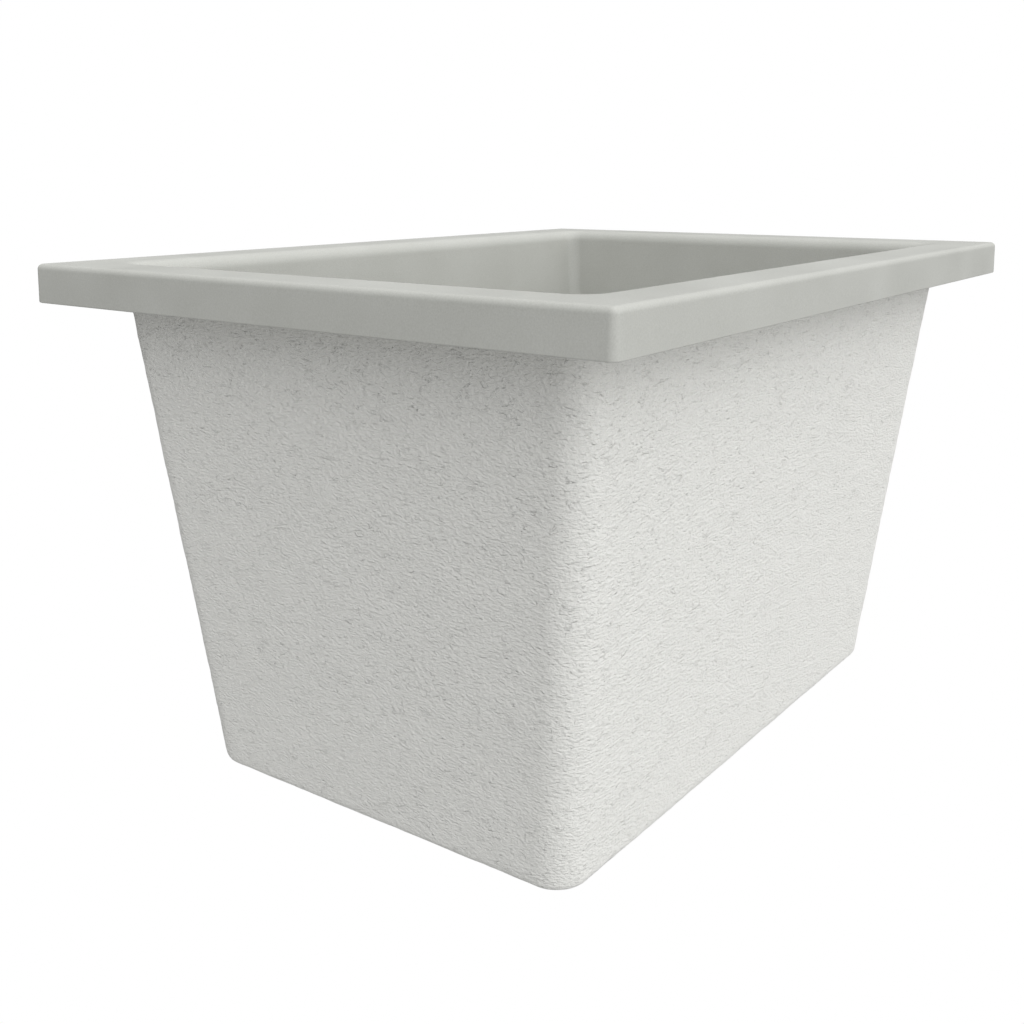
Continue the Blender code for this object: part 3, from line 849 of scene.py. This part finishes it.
@dataclass
class SprayedBacking:
    """The rough backing, sprayed on the tub's outside and up under the rim.

    Attributes:
        grid: About a point for each 3 mm, so that the ripples are real shape.
        wall_rows: Rows of points down the wall.
        under_rows: Rows of points across the underside.
        ripple: How far the surface rises and falls with the ripples.
        swell: How far it does with the slow unevenness of the spray.
        ripple_mm: Size of a ripple along X, Y and Z, in millimetres.
        swell_mm: The same for the slow unevenness.
        pad_radius: Where it is pressed flat for the waste.
        edge_radius: Radius of the tub's bottom edge.
        rim_layer: Thickness under the rim.
        pad_fade: How far from the pad it takes the spray to reach its full unevenness.
        rim_clear: How far under the rim's face the spray stays even, to stay clear of the skirt.
        rim_fade: How far below that it takes to reach its full unevenness.
    """

    form: TubForm
    grid: Mesh2D = Mesh2D(160, 104, 12)
    wall_rows: int = 104
    under_rows: int = 30
    ripple: float = 0.30 * MM
    swell: float = 0.40 * MM
    ripple_mm: tuple[float, float, float] = (18.0, 18.0, 10.0)
    swell_mm: tuple[float, float, float] = (55.0, 55.0, 30.0)
    pad_radius: float = 60 * MM
    edge_radius: float = 6 * MM
    rim_layer: float = 3.5 * MM
    pad_fade: float = 12 * MM
    rim_clear: float = 10 * MM
    rim_fade: float = 6 * MM
    rim_rows: int = 6
    turn_steps: int = 5

    def rough(self, points: np.ndarray) -> np.ndarray:
        """Push the outer rows in and out with the spray's unevenness.

        Args:
            points: Rows of points, from the skirt round to the waste hole.

        Returns:
            The moved points.
        """
        along = np.roll(points, -1, axis=1) - np.roll(points, 1, axis=1)
        down = np.gradient(points, axis=0)
        normal = np.cross(along, down)
        normal /= np.linalg.norm(normal, axis=-1, keepdims=True) + 1e-12
        half = points.shape[0] // 2
        if (normal[half] * points[half]).sum() < 0:
            normal = -normal
        per_ripple = 1 / (np.array(self.ripple_mm) * MM)
        per_swell = 1 / (np.array(self.swell_mm) * MM)
        rise = np.empty(points.shape[:2])
        for row, line in enumerate(points):
            for k, here in enumerate(line):
                slow = noise.noise(Vector(here * per_swell))
                bent = Vector(here * per_ripple) + Vector((slow, slow, slow * 1.5))
                fold = 1 - abs(noise.noise(bent)) * 2
                fine = noise.noise(bent * 1.6)
                rise[row, k] = self.swell * slow + self.ripple * (0.55 * (fold - 0.6) + 0.5 * fine)
        flat = np.hypot(points[..., 0], points[..., 1])
        off_pad = np.clip((flat - self.pad_radius) / self.pad_fade, 0, 1)
        off_rim = np.clip((self.form.top - points[..., 2] - self.rim_clear) / self.rim_fade, 0, 1)
        return points + normal * (rise * (off_pad * off_rim))[..., None]

    def outer(self) -> list[np.ndarray]:
        """Rows of the face that shows, from the skirt's bottom edge to the waste hole.

        Returns:
            The rows.
        """
        form, grid = self.form, self.grid
        inner = form.skin + form.gap + self.rim_layer
        top = form.top - inner
        fillet, corner = form.under_fillet, form.rim_corner
        rows = [
            form.section(grid, inner - 0.5 * MM, corner, 0.0),
            form.section(grid, inner, corner, 0.5 * MM),
            form.section(grid, inner + form.lean, corner, top - 2 * MM),
            form.section(grid, inner + form.lean + 0.6 * MM, corner, top - 0.6 * MM),
            form.section(grid, inner + form.lean + 2 * MM, corner, top),
        ]
        across = form.section(grid, form.inset(top) - fillet, form.corner(top) + fillet, top)
        rows += form.between(rows[-1], across, self.rim_rows)
        for step in range(4):
            turned = math.radians(30 * step)
            out = fillet * (1 - math.sin(turned))
            z = top - fillet * (1 - math.cos(turned))
            rows.append(form.section(grid, form.inset(top) - out, form.corner(top) + out, z))
        turn = form.floor_turn(grid, 0.0, self.edge_radius, form.underside, self.turn_steps)
        rows += form.walls(grid, 0.0, top - fillet, form.underside + self.edge_radius, self.wall_rows)
        rows += turn
        pad = form.disc(turn[-1], self.pad_radius, form.underside)
        hole = form.disc(turn[-1], form.drain_radius, form.underside)
        rows += form.between(turn[-1], pad, self.under_rows) + [pad, hole]
        return rows

    def build(self) -> list[Object]:
        """Make the backing.

        Returns:
            The pieces.
        """
        form = self.form
        inner = np.stack(form.underlay(self.grid, form.skin + form.gap, form.backing, self.turn_steps)[::-1])
        outer = self.rough(np.stack(self.outer()))
        part = Part("sprayed_backing", "backing_layer", BACKING, Slot.BACKING)
        return [part.loft(np.concatenate([inner, outer]))]


# ---------------------------------------------------------------------------------------------------------------
# The waste
# ---------------------------------------------------------------------------------------------------------------


def push_out(points: np.ndarray, rise: np.ndarray) -> np.ndarray:
    """Move each point away from the axis by its own rise."""
    scale = 1 + rise / np.maximum(np.hypot(points[..., 0], points[..., 1]), MM)
    return points * np.stack([scale, scale, np.ones_like(scale)], axis=-1)


def threaded(points: np.ndarray, low: float, high: float, radius: float, pitch: float, depth: float) -> np.ndarray:
    """Cut a round screw thread into the outside of a turned piece.

    Args:
        points: The piece's points, one row for each facet.
        low: Where the thread ends, below.
        high: Where it ends, above.
        radius: The radius of the face that it is cut in.
        pitch: Height of one turn.
        depth: Depth of the thread.

    Returns:
        The moved points.
    """
    turn = np.arctan2(points[..., 1], points[..., 0]) / (2 * math.pi)
    height = points[..., 2]
    reach = np.hypot(points[..., 0], points[..., 1])
    fade = np.clip(np.minimum(height - low, high - height) / pitch, 0, 1) * (np.abs(reach - radius) < 0.05 * MM)
    return push_out(points, -depth * fade * (0.5 + 0.5 * np.cos(2 * math.pi * (height / pitch - turn))))


def lobed(points: np.ndarray, marked: list[bool], count: int, first: float, width: float, rise: float) -> np.ndarray:
    """Raise lugs on some rows of a turned piece.

    Args:
        points: The piece's points, one row for each facet.
        marked: For each point of the outline, whether lugs stand on it.
        count: How many lugs there are.
        first: Where the middle of the first one is, in degrees.
        width: How wide one is, in degrees.
        rise: How far they stand out.

    Returns:
        The moved points.
    """
    turn = np.degrees(np.arctan2(points[..., 1], points[..., 0])) - first
    pitch = 360 / count
    away = np.abs((turn + pitch / 2) % pitch - pitch / 2)
    lug = np.clip((width / 2 - away) / (0.3 * width) + 0.5, 0, 1)
    return push_out(points, rise * lug * lug * (3 - 2 * lug) * np.array(marked)[None, :])


def bevelled(piece: Object, width: float) -> Object:
    """Round a piece's sharp edges.

    Args:
        piece: The piece.
        width: How wide the rounding is.

    Returns:
        The same piece.
    """
    bevel = piece.modifiers.new("edges", "BEVEL")
    bevel.width = width
    bevel.segments = 2
    bevel.limit_method = "ANGLE"
    bevel.angle_limit = math.radians(40)
    bevel.harden_normals = True
    return piece


def ladder(radius: float, low: float, high: float, step: float) -> Outline:
    """Points up a straight face, close enough for a thread."""
    count = max(2, round((high - low) / step))
    return [(radius, low + (high - low) * k / count) for k in range(count + 1)]


@dataclass
class WasteFrame:
    """The heights that the waste is set out from, read from the frame."""

    sheet: float = 1.2 * MM
    gap: float = 0.3 * MM

    def __post_init__(self) -> None:
        """Read the faces that the pieces meet at."""
        self.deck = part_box("strainer_body")[1].z
        self.spigot_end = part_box("strainer_body")[0].z
        self.flange_under = self.deck - self.sheet


@dataclass
class StrainerCup:
    """The pressed steel cup: flange, threaded wall, seat for the stopper and threaded spigot."""

    heights: WasteFrame
    outer: float = 43.0 * MM
    flange: float = 57.0 * MM
    depth: float = 32 * MM
    seat_depth: float = 42 * MM
    spigot_outer: float = 23.8 * MM
    spigot_bore: float = 21.2 * MM
    pitch: float = 1.8 * MM
    thread_depth: float = 0.45 * MM

    def build(self) -> list[Object]:
        """Make the cup.

        Returns:
            The pieces.
        """
        top, sheet, under = self.heights.deck, self.heights.sheet, self.heights.flange_under
        inner = self.outer - sheet
        end = self.heights.spigot_end
        step = self.pitch / 6
        outline = ladder(self.spigot_outer, end, top - self.seat_depth - sheet, step)
        outline += [(self.outer - 4 * MM, top - self.depth - sheet)]
        outline += ladder(self.outer, top - self.depth + 3 * MM, under - 1.5 * MM, step)
        outline += [
            (self.outer + 1.5 * MM, under),
            (self.flange - 1.5 * MM, under),
            (self.flange, under - 0.8 * MM),
            (self.flange, under + 0.2 * MM),
            (self.flange - 1.8 * MM, top),
            (self.outer + 4 * MM, top),
            (self.outer + 3.2 * MM, top - 0.35 * MM),
            (self.outer + 0.8 * MM, top - 0.35 * MM),
            (inner, top - 2.2 * MM),
            (inner, top - self.depth + 3 * MM),
            (inner - 4 * MM, top - self.depth),
            (self.spigot_bore + 1 * MM, top - self.seat_depth),
            (self.spigot_bore, top - self.seat_depth - 1 * MM),
            (self.spigot_bore, end),
        ]
        points = turned_points(rounded(outline, 1.2 * MM), 144)
        high = under - 7 * MM
        points = threaded(points, top - self.depth, high, self.outer, self.pitch, self.thread_depth)
        low = top - self.seat_depth - 2 * sheet
        points = threaded(points, end, low, self.spigot_outer, self.pitch, self.thread_depth)
        return [Part("strainer_cup", "strainer_body", STEEL, Slot.STEEL).loft(points)]


@dataclass
class ClampStack:
    """What the cup is clamped with: seal, rubber ring, card ring and the lugged nut."""

    cup: StrainerCup
    lugs: int = 6
    lug_radius: float = 55.5 * MM
    nut_radius: float = 49.5 * MM
    collar: float = 3 * MM

    def locknut(self) -> Object:
        """The cast nut, with its wide collar on top and lugs to turn it by.

        Returns:
            The piece.
        """
        low, high = levels("locknut")
        bore = self.cup.outer + self.cup.heights.gap
        wide = self.nut_radius + self.collar
        shoulder = high - self.collar
        edge = 0.5 * MM
        outline = [
            (bore, low + edge),
            (bore + edge, low),
            (self.nut_radius - 2 * edge, low),
            (self.nut_radius - 0.3 * edge, low + 0.6 * edge),
            (self.nut_radius, low + 2 * edge),
            (self.nut_radius, shoulder - edge),
            (self.nut_radius + 0.4 * edge, shoulder),
            (wide - edge, shoulder),
            (wide, shoulder + edge),
            (wide, high - edge),
            (wide - edge, high),
            (bore + edge, high),
            (bore, high - edge),
        ]
        marked = [2 <= k <= 6 for k in range(len(outline))]
        points = turned_points(outline, 288)
        rise = self.lug_radius - self.nut_radius
        points = lobed(points, marked, self.lugs, 5.0, 15.0, rise)
        return Part("locknut_casting", "locknut", ZINC, Slot.ZINC).loft(points)

    def build(self) -> list[Object]:
        """Make the seals and the nut.

        Returns:
            The pieces.
        """
        loose = self.cup.outer + 0.4 * MM
        seal = Part("flange_seal_ring", "flange_seal", RUBBER, Slot.RUBBER)
        gasket = Part("underside_rubber_ring", "underside_gasket", RUBBER, Slot.RUBBER)
        card = Part("friction_card_ring", "friction_washer", CARD, Slot.CARD)
        return [
            seal.ring(self.cup.outer + 3 * MM, self.cup.flange - 2 * MM, 0.6 * MM),
            gasket.ring(loose, 54 * MM, 0.7 * MM),
            card.ring(loose, 53.5 * MM, 0.15 * MM),
            self.locknut(),
        ]


@dataclass
class Crossbar:
    """The four-armed bar in the spigot and the nylon ring in its hub."""

    cup: StrainerCup
    hub: float = 8.2 * MM
    bore: float = 6.4 * MM
    arm: float = 1.6 * MM
    post: float = 3.8 * MM

    def outline(self) -> np.ndarray:
        """The bar's outline from above: four arms and the arcs of the hub between them.

        Returns:
            Its points, one row each.
        """
        reach = self.cup.spigot_bore - 0.35 * MM
        corners: list[float] = []
        for quarter in range(4):
            base = math.radians(90 * quarter)
            spare = math.asin(self.arm / self.hub)
            tip = math.asin(self.arm / reach)
            for radius, turn in ((self.hub, -spare), (reach, -tip), (reach, 0.0), (reach, tip), (self.hub, spare)):
                corners.append((radius, base + turn))
            for step in range(1, 8):
                corners.append((self.hub, base + spare + (math.pi / 2 - 2 * spare) * step / 8))
        polar = np.array(corners)
        return np.stack([polar[:, 0] * np.cos(polar[:, 1]), polar[:, 0] * np.sin(polar[:, 1])], axis=1)

    def build(self) -> list[Object]:
        """Make the bar and its ring.

        Returns:
            The pieces.
        """
        low, high = levels("outlet_crossbar")
        outer = self.outline()
        bore = outer * (self.bore / np.hypot(outer[:, 0], outer[:, 1]))[:, None]
        loops = ((outer, low), (outer, high), (bore, high), (bore, low))
        points = np.stack([np.column_stack([flat, np.full(len(flat), z)]) for flat, z in loops])
        bar = Part("outlet_bar", "outlet_crossbar", STEEL, Slot.STEEL).loft(points)
        collar = Part("post_grip_collar", "post_grip_ring", NYLON, Slot.NYLON)
        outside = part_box("post_grip_ring")[1].x
        return [bevelled(bar, 0.35 * MM), collar.ring(self.post, outside, 0.4 * MM, 64)]


@dataclass(frozen=True)
class HoleRing:
    """A band of the basket's sheet with round holes: the rows it lies between, how many, and their radius."""

    first: int
    last: int
    count: int
    radius: float


@dataclass
class Basket:
    """The lift-out basket: perforated cup, rubber stopper, post, knob and nut."""

    heights: WasteFrame
    depth: float = 28 * MM
    sheet: float = 0.8 * MM
    post: float = 3.6 * MM
    floor_rings_mm: tuple[float, ...] = (9.0, 14.5, 20.2, 26.2, 29.5)  # three bands of holes, and a plain edge
    samples: int = 144
    cell_rows: int = 4
    roll: float = 1.0 * MM

    def sheet_rows(self) -> tuple[Outline, list[HoleRing]]:
        """The sheet from its middle to its rolled rim, and the bands that have holes.

        Returns:
            The rows, as distance from the axis and height, and the bands.
        """
        floor = self.heights.deck - self.depth
        rows = [(self.post + 0.5 * MM, floor)] + [(radius * MM, floor) for radius in self.floor_rings_mm]
        holes = [HoleRing(1, 2, 12, 1.5 * MM), HoleRing(2, 3, 18, 1.5 * MM), HoleRing(3, 4, 24, 1.6 * MM)]
        bend = 4.2 * MM
        for turned in range(15, 91, 15):
            turn = math.radians(turned)
            rows.append((29.8 * MM + bend * math.sin(turn), floor + bend * (1 - math.cos(turn))))
        wall = len(rows) - 1
        start = rows[-1]
        for step in range(1, 4):
            rows.append((start[0] + step * 1.35 * MM, start[1] + step * 5.7 * MM))
            holes.append(HoleRing(wall + step - 1, wall + step, 36, 1.5 * MM))
        rows.append((38.9 * MM, floor + 22.9 * MM))
        centre = (39.7 * MM, floor + 22.9 * MM)
        for turned in range(-30, 181, 30):
            turn = math.radians(turned)
            rows.append((centre[0] + self.roll * math.sin(turn), centre[1] + self.roll * math.cos(turn)))
        return rows, holes

    def band(self, rows: Outline, hole: HoleRing) -> tuple[list[tuple[float, float, float]], list[tuple[int, ...]]]:
        """Points and quads of one band of holes.

        Args:
            rows: The sheet's rows.
            hole: The band.

        Returns:
            The points, and the quads between each hole and the border of its cell.
        """
        (near, low), (far, high) = rows[hole.first], rows[hole.last]
        along = self.samples // hole.count
        up = self.cell_rows
        slope = math.hypot(far - near, high - low)
        width = math.pi * (near + far) / hole.count
        border = [(k / along, 0.0) for k in range(along)] + [(1.0, k / up) for k in range(up)]
        border += [(1 - k / along, 1.0) for k in range(along)] + [(0.0, 1 - k / up) for k in range(up)]
        points, quads = [], []
        for cell in range(hole.count):
            start = len(points)
            for u, v in border:
                across, rise = (u - 0.5) * width, (v - 0.5) * slope
                length = math.hypot(across, rise) / hole.radius
                for share in (1.0, 1 / length):
                    a, b = 0.5 + (u - 0.5) * share, 0.5 + (v - 0.5) * share
                    radius = near + (far - near) * b
                    turn = 2 * math.pi * (cell + a) / hole.count
                    points.append((radius * math.cos(turn), radius * math.sin(turn), low + (high - low) * b))
            for k in range(len(border)):
                after = (k + 1) % len(border)
                quads.append(tuple(start + i for i in (2 * k, 2 * after, 2 * after + 1, 2 * k + 1)))
        return points, quads

    def cup(self) -> Object:
        """The perforated cup.

        Returns:
            The piece.
        """
        rows, holes = self.sheet_rows()
        points: list[tuple[float, float, float]] = []
        quads: list[tuple[int, ...]] = []
        pierced = {hole.first for hole in holes}
        plain = turned_points(rows, self.samples).transpose(1, 0, 2)
        for index in range(len(rows) - 1):
            start = len(points)
            if index in pierced:
                hole = next(hole for hole in holes if hole.first == index)
                more, faces = self.band(rows, hole)
            else:
                more = [tuple(point) for point in plain[index : index + 2].reshape(-1, 3)]
                faces = [tuple(face) for face in strip_faces(2, self.samples, False)]
            points += more
            quads += [tuple(start + int(i) for i in face) for face in faces]
        part = Part("perforated_basket", "strainer_basket", STEEL, Slot.STEEL, Body.BASKET)
        cup = part.make(np.array(points), np.array(quads))
        shell = cup.modifiers.new("sheet", "SOLIDIFY")
        shell.thickness = self.sheet
        shell.offset = 0.0
        shell.use_even_offset = True
        return cup

    def stopper(self) -> Object:
        """The rubber disc that closes on the cup's seat.

        Returns:
            The piece.
        """
        low, high = levels("basket_stopper")
        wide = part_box("basket_stopper")[1].x
        bore = self.post + 0.3 * MM
        outline = [
            (bore, low),
            (20.3 * MM, low),
            (23.9 * MM, low + 1.9 * MM),
            (wide - 0.8 * MM, low + 5.1 * MM),
            (wide, low + 6.7 * MM),
            (wide - 1.4 * MM, high - 1.2 * MM),
            (wide - 2.6 * MM, high),
            (bore, high),
        ]
        part = Part("rubber_stopper", "basket_stopper", RUBBER, Slot.RUBBER, Body.BASKET)
        return part.spin(outline, 0.7 * MM)

    def pin(self) -> Object:
        """The post, with a groove for the ring that grips it.

        Returns:
            The piece.
        """
        low, high = levels("basket_post")
        groove = self.post - 0.4 * MM
        outline = [
            (0.0, low),
            (self.post - 1.0 * MM, low),
            (self.post, low + 1.2 * MM),
            (self.post, low + 2.2 * MM),
            (groove, low + 2.8 * MM),
            (groove, low + 3.8 * MM),
            (self.post, low + 4.4 * MM),
            (self.post, high),
            (0.0, high),
        ]
        part = Part("basket_pin", "basket_post", STEEL, Slot.STEEL, Body.BASKET)
        return part.spin(outline, 0.3 * MM, 64)

    def knob(self) -> Object:
        """The waisted knob.

        Returns:
            The piece.
        """
        low, high = levels("lift_knob")
        tall, wide = high - low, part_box("lift_knob")[1].x
        bore = self.post + 0.3 * MM
        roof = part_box("basket_post")[1].z + 0.3 * MM
        outline = [
            (0.0, roof),
            (bore, roof),
            (bore, low),
            (wide * 0.64, low),
            (wide * 0.56, low + tall * 0.16),
            (wide * 0.55, low + tall * 0.34),
            (wide * 0.76, low + tall * 0.54),
            (wide, low + tall * 0.68),
            (wide, low + tall * 0.86),
            (wide * 0.80, high - 0.4 * MM),
            (wide * 0.45, high),
            (0.0, high),
        ]
        part = Part("waisted_knob", "lift_knob", CHROME, Slot.CHROME, Body.BASKET)
        return part.spin(outline, 1.6 * MM, 64)

    def nut(self) -> Object:
        """The brass hexagon nut under the stopper.

        Returns:
            The piece.
        """
        low, high = levels("stopper_nut")
        bore, flats = self.post + 0.3 * MM, self.post + 2.4 * MM
        turns = np.arange(48) * 2 * math.pi / 48
        reach = flats / np.cos((turns + math.pi / 6) % (math.pi / 3) - math.pi / 6)
        loops = ((bore, low), (reach, low), (reach, high), (bore, high))
        points = np.stack(
            [np.stack([r * np.cos(turns), r * np.sin(turns), np.full(48, z)], axis=1) for r, z in loops]
        )
        part = Part("hexagon_nut", "stopper_nut", BRASS, Slot.BRASS, Body.BASKET)
        return bevelled(part.loft(points), 0.3 * MM)

    def build(self) -> list[Object]:
        """Make the basket and all that lifts with it."""
        return [self.cup(), self.stopper(), self.pin(), self.knob(), self.nut()]


@dataclass
class TailpieceSet:
    """Under the spigot: washer, flanged tube and the ribbed slip nut that holds them."""

    cup: StrainerCup
    tube: float = 19.05 * MM
    bore: float = 17.85 * MM
    flange: float = 22.7 * MM
    ribs: int = 8

    def washer(self) -> Object:
        """The nylon washer."""
        part = Part("nylon_washer", "tailpiece_washer", NYLON, Slot.NYLON)
        return part.ring(self.bore + 0.6 * MM, self.cup.spigot_outer - 0.3 * MM, 0.4 * MM)

    def pipe(self) -> Object:
        """The chromed tube with its turned-out flange.

        Returns:
            The piece.
        """
        low, high = levels("tailpiece")
        under = high - self.cup.heights.sheet
        outline = [
            (self.bore, low),
            (self.tube, low),
            (self.tube, under - 0.8 * MM),
            (self.tube + 0.8 * MM, under),
            (self.flange, under),
            (self.flange, high),
            (self.bore + 0.8 * MM, high),
            (self.bore, high - 0.8 * MM),
        ]
        return Part("tailpiece_tube", "tailpiece", CHROME, Slot.CHROME).spin(outline, 0.45 * MM)

    def slip_nut(self) -> Object:
        """The ribbed nut, with a collar at its mouth.

        Returns:
            The piece.
        """
        low, high = levels("coupling_nut")
        bore = self.cup.spigot_outer + 0.3 * MM
        outer, mouth = bore + 2.8 * MM, self.tube + 1.4 * MM
        lip = low + 3 * MM
        edge = 0.4 * MM
        outline = [
            (mouth, low + edge),
            (mouth + edge, low),
            (outer - 1.4 * MM, low),
            (outer - 0.5 * MM, low + 0.4 * MM),
            (outer, low + 1.2 * MM),
            (outer, high - 4.6 * MM),
            (outer, high - 3.7 * MM),
            (outer + 0.1 * MM, high - 3.3 * MM),
            (outer + 0.1 * MM, high - 0.9 * MM),
            (outer - 0.4 * MM, high),
            (bore + edge, high),
            (bore, high - edge),
            (bore, lip),
            (mouth, lip),
        ]
        marked = [3 <= k <= 5 for k in range(len(outline))]
        points = lobed(turned_points(outline, 288), marked, self.ribs, 3.75, 13.0, 3.2 * MM)
        return Part("slip_nut", "coupling_nut", CHROME, Slot.CHROME).loft(points)

    def build(self) -> list[Object]:
        """Make the three pieces."""
        return [self.washer(), self.pipe(), self.slip_nut()]


# ---------------------------------------------------------------------------------------------------------------
# The studio
# ---------------------------------------------------------------------------------------------------------------


@dataclass(frozen=True)
class Glow:
    """A broad soft glow in the sky.

    Attributes:
        towards: The direction that it comes from.
        focus: How fast it fades away from there: 1 fades out at a right angle, more is narrower.
        strength: Its brightness in the middle.
    """

    towards: tuple[float, float, float]
    focus: float
    strength: float


@dataclass
class Studio:
    """White all round, with a sky that is brightest overhead and in front of the long side.

    Attributes:
        stand: Where the camera stands.
        yaw: Which way it looks, in degrees from +Y towards +X.
        pitch: How far it looks down, in degrees.
        roll: How far it leans, in degrees.
        lens: Focal length, in millimetres.
        sensor: Width of the sensor, in millimetres.
        floor_z: Height of the floor, well below the tailpiece.
        sky: Brightness of the sky everywhere.
        glows: What is added to it.
        backdrop: Radius of the backdrop.
    """

    stand: tuple[float, float, float] = (-0.7842, -0.5100, 0.0847)
    yaw: float = 53.89
    pitch: float = 15.96
    roll: float = -0.054
    lens: float = 41.82
    sensor: float = 36.0
    floor_z: float = -1.6
    sky: float = 0.10
    glows: tuple[Glow, ...] = (
        Glow((0, 0, 1), 1.0, 1.08),
        Glow((0, -1, 0.85), 2.0, 0.98),
        Glow((0, -1, 0), 1.0, 0.36),
        Glow((-1, 0, 0), 1.0, 0.20),
        Glow((0, 0, -1), 1.0, 0.27),
    )
    backdrop: float = 30.0

    def camera(self) -> None:
        """Set the camera up."""
        yaw, pitch, roll = (math.radians(a) for a in (self.yaw, self.pitch, self.roll))
        ahead = Vector((math.sin(yaw) * math.cos(pitch), math.cos(yaw) * math.cos(pitch), -math.sin(pitch)))
        level = Vector((math.cos(yaw), -math.sin(yaw), 0.0))
        upright = level.cross(ahead)
        right = math.cos(roll) * level + math.sin(roll) * upright
        up = -math.sin(roll) * level + math.cos(roll) * upright
        data = bpy.data.cameras.new("camera")
        data.lens, data.sensor_width = self.lens, self.sensor
        holder = bpy.data.objects.new("camera", data)
        axes = Matrix((right, up, -ahead)).transposed().to_4x4()
        holder.matrix_world = Matrix.Translation(self.stand) @ axes
        bpy.context.scene.collection.objects.link(holder)
        bpy.context.scene.camera = holder

    def heaven(self) -> None:
        """Make the sky: the same brightness all round, and the glows on top of it."""
        world = bpy.data.worlds.new("sky")
        world.use_nodes = True
        tree = world.node_tree
        where = add_node(tree, "ShaderNodeTexCoord").outputs["Generated"]
        background = tree.nodes["Background"]
        background.inputs["Color"].default_value = (1.0, 1.0, 1.0, 1.0)
        total = None
        for glow in self.glows:
            values = {1: Vector(glow.towards).normalized()}
            facing = add_node(tree, "ShaderNodeVectorMath", values, {0: where}, operation="DOT_PRODUCT")
            lit = add_node(tree, "ShaderNodeMath", {1: 0.0}, {0: facing.outputs["Value"]}, operation="MAXIMUM")
            bent = add_node(tree, "ShaderNodeMath", {1: glow.focus}, {0: lit.outputs[0]}, operation="POWER")
            values, links = {1: glow.strength, 2: self.sky}, {0: bent.outputs[0]}
            if total is not None:
                links[2] = total
            total = add_node(tree, "ShaderNodeMath", values, links, operation="MULTIPLY_ADD").outputs[0]
        tree.links.new(total, background.inputs["Strength"])
        bpy.context.scene.world = world

    def glow(self, name: str) -> Material:
        """Make a white that shows as plain white.

        Args:
            name: The material's name.

        Returns:
            The material.
        """
        white = bpy.data.materials.new(name)
        white.use_nodes = True
        tree = white.node_tree
        tree.nodes.clear()
        shine = add_node(tree, "ShaderNodeEmission", {"Color": (1.0, 1.0, 1.0, 1.0), "Strength": 1.0})
        add_node(tree, "ShaderNodeOutputMaterial", links={"Surface": shine.outputs["Emission"]})
        return white

    def surround(self) -> None:
        """A pale floor and a backdrop all round, which the camera sees and the object does not."""
        shapes = {"floor": bmesh.new(), "backdrop": bmesh.new()}
        bmesh.ops.create_circle(shapes["floor"], cap_ends=True, segments=96, radius=self.backdrop * 0.98)
        bmesh.ops.create_icosphere(shapes["backdrop"], subdivisions=4, radius=self.backdrop)
        for name, shape in shapes.items():
            mesh = bpy.data.meshes.new(name)
            shape.to_mesh(mesh)
            shape.free()
            mesh.materials.append(self.glow(f"white_{name}"))
            thing = bpy.data.objects.new(name, mesh)
            thing.visible_diffuse = thing.visible_glossy = thing.visible_shadow = False
            thing.visible_transmission = False
            bpy.context.scene.collection.objects.link(thing)
        bpy.data.objects["floor"].location.z = self.floor_z

    def build(self) -> None:
        """Set up camera, sky, floor and backdrop."""
        self.camera()
        self.heaven()
        self.surround()
        bpy.context.scene.view_settings.view_transform = "Standard"


def main() -> None:
    """Build the tub, its waste and the studio."""
    logging.basicConfig(level=logging.INFO, format="%(name)s: %(message)s")
    form = TubForm()
    heights = WasteFrame()
    cup = StrainerCup(heights)
    Studio().build()
    assemblies = [
        MouldedSkin(form),
        SprayedBacking(form),
        cup,
        ClampStack(cup),
        Crossbar(cup),
        Basket(heights),
        TailpieceSet(cup),
    ]
    for assembly in assemblies:
        for piece in assembly.build():
            LOG.info("%s: %s, %d faces", type(assembly).__name__, piece.name, len(piece.data.polygons))
    bpy.context.view_layer.update()


if __name__ == "__main__":
    main()
